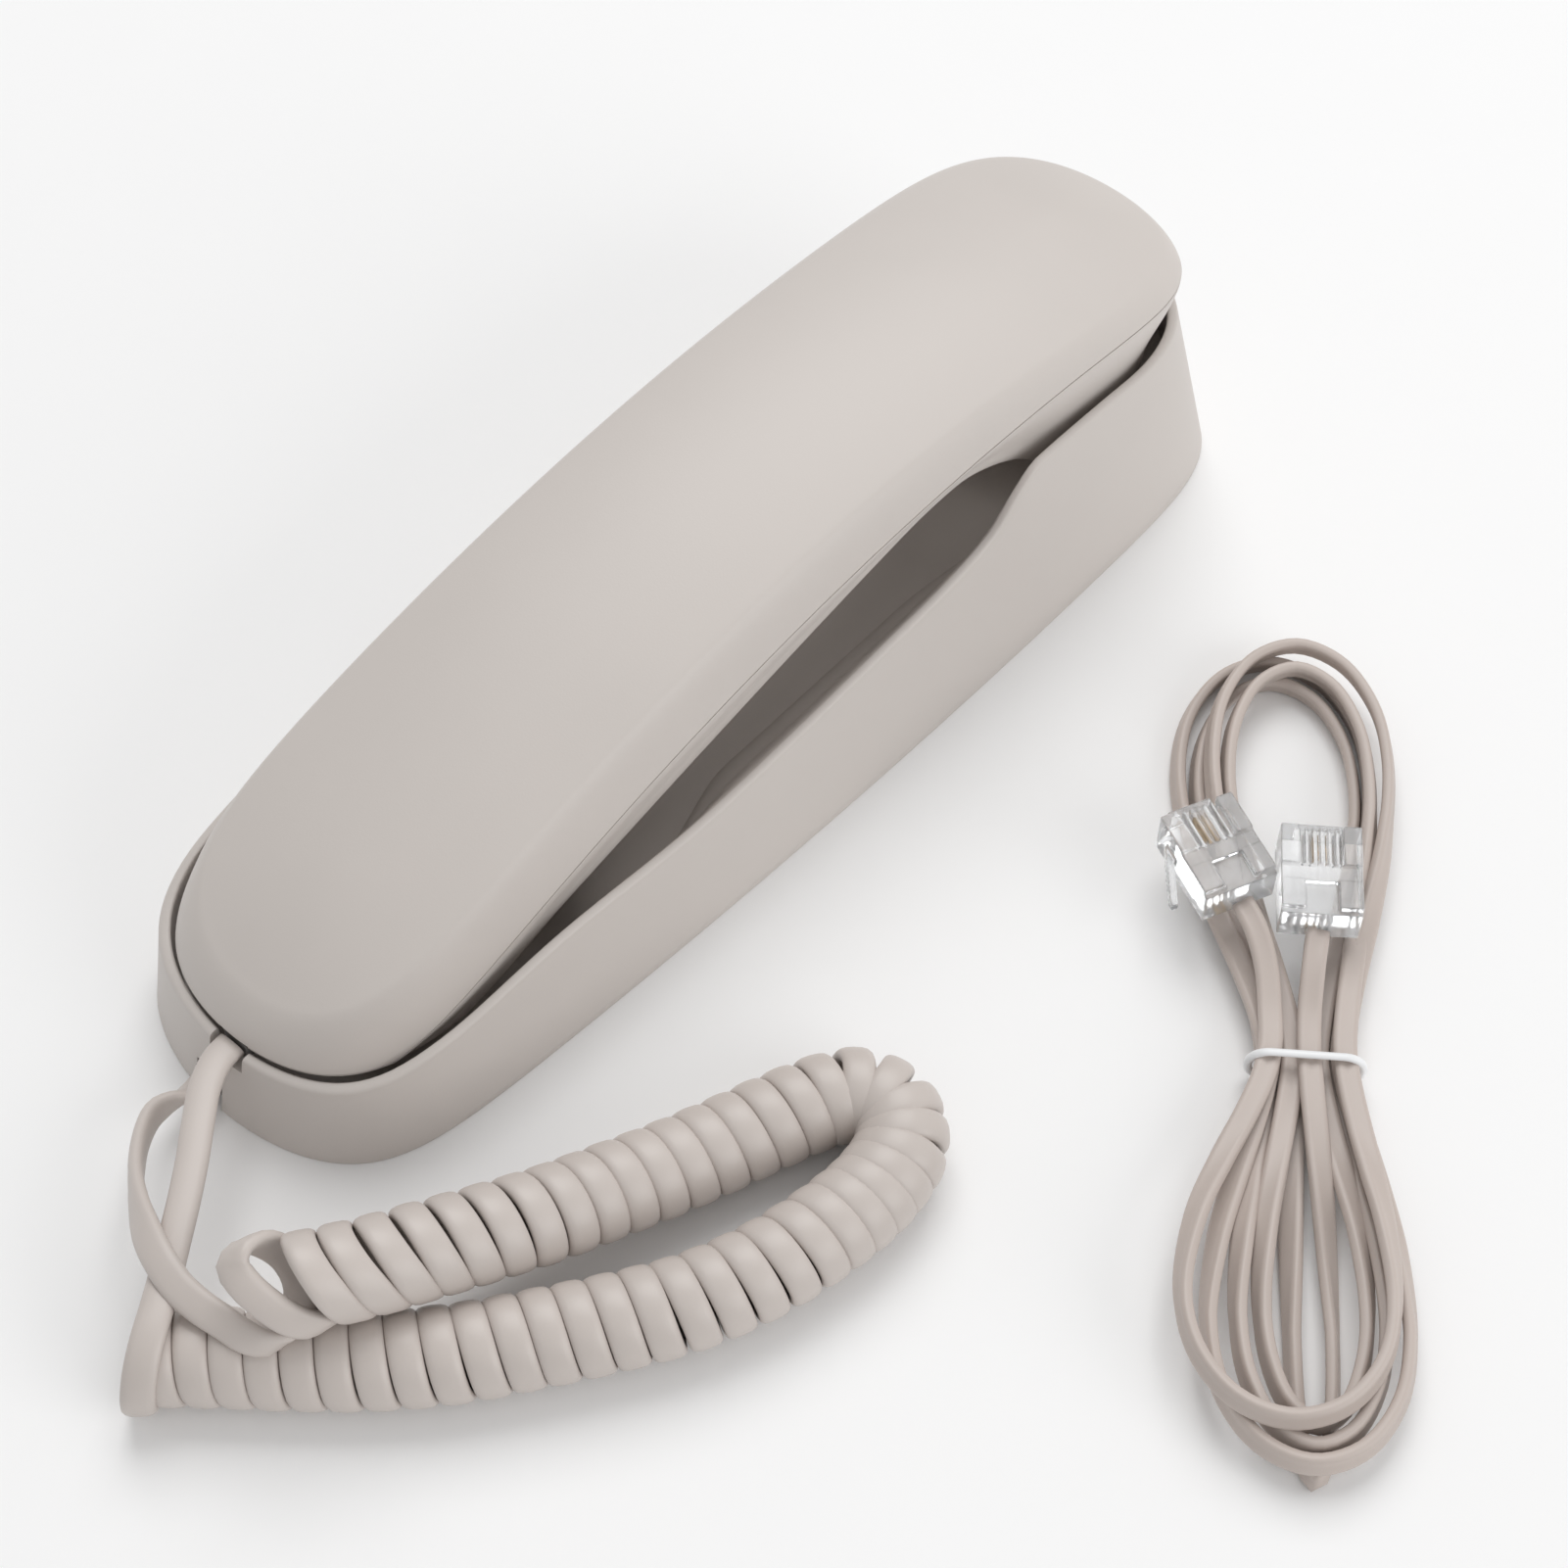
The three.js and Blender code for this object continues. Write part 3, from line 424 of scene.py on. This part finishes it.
clear = moulded("clear_polycarbonate", (0.95, 0.96, 0.97), 0.06, relief=0.00001, mottle=0.01,
                Transmission_Weight=0.85, IOR=1.45)
gilt = moulded("gilt_contact", (0.62, 0.42, 0.2), 0.25, mottle=0.05, Metallic=1.0)
plug_level = 10.8
plug_width = 12.2
plug_length = 15.2
plug_height = 7.6
slot_pitch = 1.15
rib_xs = (np.arange(7) - 3) * slot_pitch
rib_half = 0.3
contact_half = 0.16
arm_steps = np.arange(12)
arm_lean = 0.35                  # sideways and back for each step along the latch arm
arm_run = 0.8
plug_voxel = 0.22 * MM
for letter, lie in (("a", plug_a), ("b", plug_b)):
    half, nose, deep = plug_width / 2, plug_length / 2, plug_height / 2
    rows = [
        (-half, half, -nose, -2.2, -deep, deep - 1.6),          # boot, open over the cord
        (-half, -2.6, -nose + 0.6, -2.2, deep - 1.7, deep - 0.5),
        (2.6, half, -nose + 0.6, -2.2, deep - 1.7, deep - 0.5),
        (-half, half, -2.3, 0.7, -deep, deep - 0.6),            # cord clamp
        (-half, half, 0.6, nose, -deep, deep - 2.4),            # floor under the contacts
        (-half, -rib_xs[-1], 0.6, nose, deep - 2.5, deep),
        (rib_xs[-1], half, 0.6, nose, deep - 2.5, deep),
        (-3.6, 3.6, nose - 1.2, nose + 1.8, -deep + 0.6, 1.2),  # root of the latch
    ]
    rows += [(x - rib_half, x + rib_half, 0.6, nose - 0.4, deep - 2.5, deep - 0.1)
             for x in rib_xs]
    if letter == "a":          # this one lies rolled over, so its latch arm shows beside it
        rows += [(-half - 0.6 - arm_lean * k, -half + 0.5 - arm_lean * k,
                  nose - 4.4 - arm_run * k, nose - 3.2 - arm_run * k, -1.2, 0.4)
                 for k in arm_steps]
    plug = blocks(f"line_plug_{letter}_clear", MM * np.array(rows))
    union = plug.modifiers.new("one_solid", "REMESH")
    union.mode = "VOXEL"
    union.voxel_size = plug_voxel
    union.use_smooth_shade = True
    baked(plug)
    place_on_hank(plug, lie["place"], lie["turn"], plug_level)
    plug.data.materials.clear()
    plug.data.materials.append(clear)
    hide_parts(f"line_plug_{letter}")
    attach(plug, "base")
    contacts = blocks(f"line_plug_{letter}_contacts", MM * np.array([
        (x - contact_half, x + contact_half, 1.4, nose - 1.6, deep - 2.3, deep - 0.7)
        for x in (-slot_pitch / 2, slot_pitch / 2)
    ]))
    place_on_hank(contacts, lie["place"], lie["turn"], plug_level)
    contacts.data.materials.append(gilt)
    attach(contacts, "base")
lengths_along(line_route)[-1]


# ---------------------------------------------------------------- base shell
# The wall base: one thin injection moulding, a tapered tub whose rim follows the handset.
# The cradle wall runs down inside it to a stepped floor, and the underside is hollow.
def curve_through(stations):
    """Heights along the length: a cubic between stations, level where they turn and beyond
    both ends, with slopes from the stations on either side."""
    place, height = np.array(stations, float).T
    slope = np.zeros(len(place))
    rise = np.diff(height)
    slope[1:-1] = np.where(rise[1:] * rise[:-1] > 0,
                           (height[2:] - height[:-2]) / (place[2:] - place[:-2]), 0)

    def at_place(y):
        y = np.clip(y, place[0], place[-1])
        i = np.clip(np.searchsorted(place, y, side="right") - 1, 0, len(place) - 2)
        span = place[i + 1] - place[i]
        s = (y - place[i]) / span
        ease = s * s * (3 - 2 * s)
        return (height[i] * (1 - ease) + height[i + 1] * ease + s * (1 - s) ** 2 * span * slope[i]
                + s * s * (s - 1) * span * slope[i + 1])
    return at_place


def outline_steps(end_power, corner_power, side_steps, corner_steps):
    """Places round an outline as (along, across) from -1 to 1, anticlockwise from the cord
    end: |along|^p + |across|^q = 1, even on the sides and by angle round the corners."""
    side_end = 0.85
    corner_angle = math.asin(side_end ** (end_power / 2))
    a = np.pi / 2 - (np.pi / 2 - corner_angle) * np.arange(corner_steps) / corner_steps
    near = np.stack([-np.sin(a) ** (2 / end_power),
                     np.maximum(np.cos(a), 0) ** (2 / corner_power)], axis=1)
    along = side_end * np.linspace(-1, 1, side_steps + 1)
    sides = np.stack([along, (1 - np.abs(along) ** end_power) ** (1 / corner_power)], axis=1)
    half = np.vstack([near, sides, near[::-1] * [-1, 1]])
    half[0, 1] = half[-1, 1] = 0
    return np.vstack([half, half[-2:0:-1] * [1, -1]])


base_steps = outline_steps(14.5, 1.83, 90, 22)
rim_height = curve_through([
    [-104, 15], [-82, 19], [-60, 22.8], [-33, 23.2], [-12, 25.4], [8, 27.8], [24, 29.6],
    [34, 32], [40, 36.2], [46, 38.9], [62, 38.2], [78, 36.6], [100, 36.6],
])
cradle_floor = curve_through([
    [-93, 10.4], [-91, 10.4], [-84, 5.4], [-57, 5.4], [-49, 12.5], [-30, 14.5], [0, 16.5],
    [32, 19], [45, 25.7], [97, 25.7],
])
wall_run = curve_through([
    [-106, 1.2], [-52, 1.8], [-38, 4.5], [-20, 9], [22, 9], [38, 7], [47, 2], [106, 1.6],
])
base_half_length = 106
base_half_width = 31.5
base_bow = 3.9
side_draft = 0.09
rim_width = 1.5
base_wall = 2.2


def base_ring(inset, height, narrow=1.0):
    """The base's outline at a height that may follow the length, moved in by an inset and
    by the walls' draft. `narrow` shrinks it towards its middle line, to close a floor."""
    along, across = base_steps.T
    place = along * base_half_length
    draft = np.where(along < 0, 0.21, 0.3)
    step = inset(place) if callable(inset) else inset
    y = along * (base_half_length - draft * height(place) - step) * (0.97 + 0.03 * narrow)
    z = height(y)
    half_width = base_half_width - base_bow * along ** 2
    x = across * half_width * (1 - (side_draft * z + step) / base_half_width) * narrow
    return np.stack([x, y, z], axis=1)


def close_seams(piece):
    """Welds points that fall together, so that a surface folded on to a line is closed."""
    work = bmesh.new()
    work.from_mesh(piece.data)
    bmesh.ops.remove_doubles(work, verts=work.verts, dist=2e-6)
    bmesh.ops.dissolve_degenerate(work, edges=work.edges, dist=1e-7)
    work.to_mesh(piece.data)
    work.free()


def carve(piece, tool, operation="DIFFERENCE"):
    """Applies a solid tool to a piece's mesh and removes the tool."""
    change = piece.modifiers.new("carve", "BOOLEAN")
    change.object = tool
    change.operation = operation
    change.solver = "EXACT"
    baked(piece)
    bpy.data.objects.remove(tool)


def finish_shell(piece, material, body, slot, *nodes):
    """Shades a shell smooth but for its true edges, and ties it to its body and nodes."""
    piece.data.shade_smooth()
    piece.data.set_sharp_from_angle(angle=math.radians(38))
    piece.data.materials.clear()
    piece.data.materials.append(material)
    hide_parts(*nodes)
    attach(piece, body)


def floor_under(y):
    """Height of the floor's underside."""
    return cradle_floor(y) - np.where(y < -86, 0.8, 1.6)


def underside_inset(y):
    """How far in the hollow of the underside has closed where it meets the floor."""
    return base_wall + wall_run(y) + 1


def wall_height(share):
    """Height of the cradle wall a share of the way up from the floor to the rim."""
    return lambda y: cradle_floor(y) + share * (rim_height(y) - cradle_floor(y))


def level_zero(y):
    """Height of the face that the base stands on."""
    return 0 * y


def hollow_height(y):
    """Height at which the hollow turns in, higher where the cradle wall is a wide scoop."""
    scoop = np.clip((wall_run(y) - 2) / 7, 0, 1)
    return floor_under(y) + 0.45 * scoop * (rim_height(y) - cradle_floor(y))


shell_plastic = moulded("shell_plastic", (0.60, 0.555, 0.522), 0.46, grain=0.00035, mottle=0.012)
rings = [base_ring(underside_inset, floor_under, narrow) for narrow in (0.0, 0.3, 0.6, 0.85, 1.0)]
rings += [base_ring(base_wall, lambda y, s=s: hollow_height(y) * s) for s in (1.0, 0.66, 0.33, 0.0)]
rings += [base_ring(0.8, level_zero), base_ring(0.2, level_zero)]
for level in np.linspace(0.015, 1, 15):
    rings.append(base_ring(0, lambda y: level * (rim_height(y) - 0.6)))
edge = np.radians([30, 60, 90])
for a in edge:
    rings.append(base_ring(0.6 * (1 - math.cos(a)),
                           lambda y: rim_height(y) - 0.6 * (1 - math.sin(a))))
for a in edge[::-1]:
    rings.append(base_ring(rim_width - 0.4 * (1 - math.cos(a)),
                           lambda y: rim_height(y) - 0.4 * (1 - math.sin(a))))
# The wall leans in slowly below the rim and sweeps out into the floor.
for drop in np.linspace(0.06, 1, 16):
    run = 0.5 * drop / 0.62 if drop < 0.62 else 1 - 0.5 * ((1 - drop) / 0.38) ** 1.35
    rings.append(base_ring(lambda y: rim_width + wall_run(y) * run, wall_height(1 - drop)))
for narrow in (0.85, 0.6, 0.3, 0.0):
    rings.append(base_ring(lambda y: rim_width + wall_run(y), cradle_floor, narrow))
base_body = tube("base_body", MM * np.array(rings), ends=False)
close_seams(base_body)
carve(base_body, blocks("cord_slots", MM * np.array([
    (-4.4, 1.4, -120, -98, -1, 6.9),          # base cord, at the foot
    (-1.3, 5.3, -120, -97, 12, 40),           # handset cord, a notch in the rim
    (-40, -25, -36.6, -21.4, -1, 11.8),       # line jack
    (-40, -22, 34.4, 43.6, 10.2, 13.8),       # ringer switch
    (-3.3, 3.3, 63.7, 68.3, 15, 40),          # hook plunger
])))
carve(base_body, blocks("switch_pocket", MM * np.array([
    (-28.35, -22, 30.6, 47.4, 8.7, 15.3),     # thins the wall behind the ringer switch's plate
])))
finish_shell(base_body, shell_plastic, "base", "shell", "base_shell")


# ---------------------------------------------------------------- handset shells
# Two mouldings that meet at a seam all round: a crowned back, and a lower shell with the
# earpiece housing at one end, the mouthpiece at the other and the keypad in the grip.
handset_steps = outline_steps(11, 2.05, 110, 26)
handset_middle = -2.1
handset_half_length = 99.1
handset_half_width = 23.6
handset_waist = 1.5
shell_wall = 2.0
seam_gap = 0.3


def handset_ring(side, near, far, height, narrow=1.0):
    """The handset's outline at a height that follows the length, moved in by its own amount
    at the sides and at either end. `narrow` shrinks it towards its middle line."""
    along, across = handset_steps.T
    end = np.where(along < 0, near, far)
    y = handset_middle + along * (handset_half_length - end)
    x = across * (handset_half_width + handset_waist * along ** 2 - side) * narrow
    return np.stack([x, y, height(y)], axis=1)


def arc_height(y, top, top_y, radius):
    """Height of a shallow arc, level at its top."""
    return top - (y - top_y) ** 2 / (2 * radius)


def parting_height(y):
    """Height of the seam: one arc along the grip, a tighter one past the earpiece."""
    return np.maximum(arc_height(y, 46.8, 54, np.where(y > 54, 180, 330)), 16.3)


def crown_edge(y):
    """Height of the crown along its edge."""
    return arc_height(y, 51.8, 30, 275)


def crown_rings(offset, shoulder_count, top_count):
    """Rings up the crown. The shoulder is a quarter ellipse that leans in, from the seam to
    the edge of the top. The top is a parabola across, which starts at the shoulder's slope
    and closes on the middle line while its two ends draw in."""
    made = []
    for a in np.linspace(0, np.pi / 2, shoulder_count):
        up, over = math.sin(a), 1 - math.cos(a)

        def height(y):
            seam = parting_height(y)
            return seam + up * (crown_edge(y) - 0.2 - seam) + 0.7 * over - offset
        made.append(handset_ring(offset + 1.3 * up + 2.5 * over, offset + 0.3 * up + 4.9 * over,
                                 offset + 1.6 * over, height))
    for t in np.linspace(0, 1, top_count)[1:]:
        made.append(handset_ring(offset + 3.8, offset + 5.2 + 22 * t, offset + 1.6 + 19 * t,
                                 lambda y: crown_edge(y) + 0.5 + 2.9 * t * (2 - t) - offset, 1 - t))
    return made


crown_skin = crown_rings(0, 20, 24)[::-1]
crown_skin.append(handset_ring(0.2, 0.2, 0.2, lambda y: parting_height(y) - 0.15))
crown_skin.append(handset_ring(1.2, 1.2, 1.2, lambda y: parting_height(y) - 0.15))
crown_skin += crown_rings(shell_wall, 8, 10)
handset_top = tube("handset_top", MM * np.array(crown_skin), ends=False)
close_seams(handset_top)
finish_shell(handset_top, shell_plastic, "handset", "shell", "handset_upper_shell")

bar_underside = curve_through([
    [-101, 12.6], [-86, 12.6], [-79, 12], [-55, 18.8], [-54, 19.1], [18, 38.3], [24, 39.6],
    [31, 40.2], [39, 38.2], [46, 34.4], [53, 28.5], [58, 26], [99, 26],
])


def lower_rings(offset, count):
    """Rings down the lower shell, from its seam to its underside and in to the middle line."""
    turn_in = 0.78               # the share of the way down at which the underside begins
    stations = [0, 0.34, 0.62, turn_in, 1.0]
    side = curve_through(list(zip(stations, [0, 0.9, 1.8, 4.6, 4.6])))
    near = curve_through(list(zip(stations, [0, 1, 1.6, 5, 12])))
    far = curve_through(list(zip(stations, [0, 6, 7.4, 9, 16])))
    made = []
    for q in np.linspace(0, 1, count):
        def height(y):
            seam = parting_height(y) - seam_gap
            under = bar_underside(y) + offset
            half = np.minimum(under + 0.42 * np.maximum(seam - under, 0) + 1, under + 11)
            foot = np.minimum(under + 1.1, half)
            levels = [seam, half, foot, under, under]
            k = min(int(np.searchsorted(stations, q, side="right")) - 1, 3)
            s = (q - stations[k]) / (stations[k + 1] - stations[k])
            return levels[k] * (1 - s) + levels[k + 1] * s
        made.append(handset_ring(offset + side(q), offset + near(q), offset + far(q), height,
                                 1 - max(q - turn_in, 0) / 0.22))
    return made


bar_skin = lower_rings(shell_wall, 24)[::-1] + lower_rings(0, 48)
handset_bottom = tube("handset_bottom", MM * np.array(bar_skin), ends=False)
close_seams(handset_bottom)


def rounded_block(name, half_width, half_length, middle, bottom, top, corner_radius, edge_radius):
    """A block with rounded corners and a rounded lower edge: rounded-rectangle rings that
    shrink by a quarter circle towards the bottom."""
    turn = np.radians(np.arange(0, 91, 15))
    rings = []
    for a in np.radians([90, 75, 60, 45, 30, 15, 0]):
        shrink = edge_radius * (1 - math.cos(np.pi / 2 - a)) if a > 0 else edge_radius
        z = bottom + edge_radius * (1 - math.cos(a)) if a > 0 else bottom
        reach = corner_radius - min(shrink, corner_radius - 0.2)
        parts = []
        for k, (sx, sy) in enumerate(corner_places):
            parts.append(np.stack([
                sx * (half_width - corner_radius) + reach * np.cos(turn + k * np.pi / 2),
                middle + sy * (half_length - corner_radius) + reach * np.sin(turn + k * np.pi / 2),
                np.full(len(turn), z)], axis=1))
        rings.append(np.vstack(parts))
    lid = rings[0] * [1, 1, 0] + [0, 0, top]
    return tube(name, MM * np.array([lid] + rings))


def posts(name, places, bottom, top, radius, sides=16):
    """Upright round posts in one mesh, one at each (x, y)."""
    a = 2 * np.pi * np.arange(sides) / sides
    ring = np.stack([radius * np.cos(a), radius * np.sin(a)], axis=1)
    places = np.asarray(places, float)
    flat = places[:, None] + ring[None]
    levels = np.stack([np.dstack([flat, np.full(flat.shape[:2], z)]) for z in (bottom, top)], axis=1)
    here = np.arange(levels[..., 0].size).reshape(len(places), 2, sides)
    beside = np.roll(here, -1, axis=2)
    walls = np.stack([here[:, 0], beside[:, 0], beside[:, 1], here[:, 1]], axis=-1).reshape(-1, 4)
    faces = walls.tolist() + here[:, 0, ::-1].tolist() + here[:, 1].tolist()
    return add_mesh(name, MM * levels.reshape(-1, 3), faces)


microphone_y = -70.5
receiver_y = 74
carve(handset_bottom, rounded_block("mouthpiece", 17, 10.5, microphone_y, 5.7, 16.5, 6, 1.2), "UNION")
carve(handset_bottom, rounded_block("mouth_hollow", 15.4, 8.9, microphone_y, 7.3, 17.2, 5, 0.5))

key_column_pitch = 12.5
key_row_pitch = 11.8
key_columns = np.array([-1, 0, 1]) * key_column_pitch
key_rows = np.array([2, 1, 0, -1, -2]) * key_row_pitch
key_half_width = 4.3
key_half_length = 3.1
key_clearance = 0.3
keypad_tilt = math.radians(15)
keypad_place = np.array([0, -16, 29.3])


def on_keypad(piece):
    """Turns a mesh made in the keypad's own frame to the slope of the grip."""
    local = np.array([v.co for v in piece.data.vertices])
    c, s = math.cos(keypad_tilt), math.sin(keypad_tilt)
    turned = local @ np.array([[1, 0, 0], [0, c, s], [0, -s, c]]) + MM * keypad_place
    piece.data.vertices.foreach_set("co", turned.ravel())
    piece.data.update()
    return piece


key_centres = np.array([(x, y) for y in key_rows for x in key_columns])
window = np.array([key_half_width, key_half_length]) + key_clearance
window_bottom = -6.0
window_top = 3.6
windows = np.stack([key_centres[:, 0] - window[0], key_centres[:, 0] + window[0],
                    key_centres[:, 1] - window[1], key_centres[:, 1] + window[1],
                    np.full(len(key_centres), window_bottom),
                    np.full(len(key_centres), window_top)], axis=1)
carve(handset_bottom, on_keypad(blocks("key_windows", MM * windows)))


def sound_places(y, spacing, circles):
    """A hole in the middle with rings of six round it, each ring turned a little further."""
    places = [[0, y]]
    for circle in range(1, circles + 1):
        a = np.arange(6) * np.pi / 3 + 0.5 * circle
        ring = [circle * spacing * np.cos(a), y + circle * spacing * np.sin(a)]
        places += np.stack(ring, axis=1).tolist()
    return places


carve(handset_bottom, posts("ear_holes", sound_places(receiver_y, 3.74, 2), 20, 32, 1.1))
carve(handset_bottom, posts("mouth_holes", sound_places(microphone_y, 2.38, 1), 3, 9, 0.7))
carve(handset_bottom, posts("screw_wells", [[0, 38], [0, -56]], 10, 60, 3.3, 24))
carve(handset_bottom, blocks("cord_slot", MM * np.array([(-0.9, 4.9, -115, -96, 12.6, 16.1)])))
finish_shell(handset_bottom, shell_plastic, "handset", "shell", "handset_lower_shell")


# ---------------------------------------------------------------- keys, screws and inside parts
# Key caps in the shells' plastic, black and green parts behind the windows and vents, and
# plated steel screws. Their shapes come with the frame, and each gets its own finish here.
key_plastic = moulded("key_plastic", (0.66, 0.60, 0.55), 0.5, grain=0.0003)
black_plastic = moulded("black_plastic", (0.02, 0.02, 0.021), 0.5, grain=0.0003)
soft_rubber = moulded("soft_rubber", (0.16, 0.15, 0.145), 0.8, grain=0.0005, relief=0.00004)
board_green = moulded("board_green", (0.025, 0.10, 0.045), 0.4, grain=0.001)
plated_steel = moulded("plated_steel", (0.55, 0.56, 0.58), 0.28, grain=0.0004, Metallic=1.0)
finishes = {
    "back_plate": shell_plastic, "hook_plunger": key_plastic, "key_": key_plastic,
    "keypad_membrane": soft_rubber, "base_cord_relief": soft_rubber,
    "handset_cord_relief": soft_rubber, "line_jack": black_plastic,
    "hook_switch_body": black_plastic, "ringer_switch_knob": black_plastic,
    "ringer_sounder": black_plastic, "receiver_capsule": black_plastic,
    "ringer_board": board_green, "handset_board": board_green,
    "microphone_capsule": plated_steel, "base_screw": plated_steel, "handset_screw": plated_steel,
}
for name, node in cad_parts.items():
    for start, finish in finishes.items():
        if name.startswith(start):
            node.data.materials.clear()
            node.data.materials.append(finish)
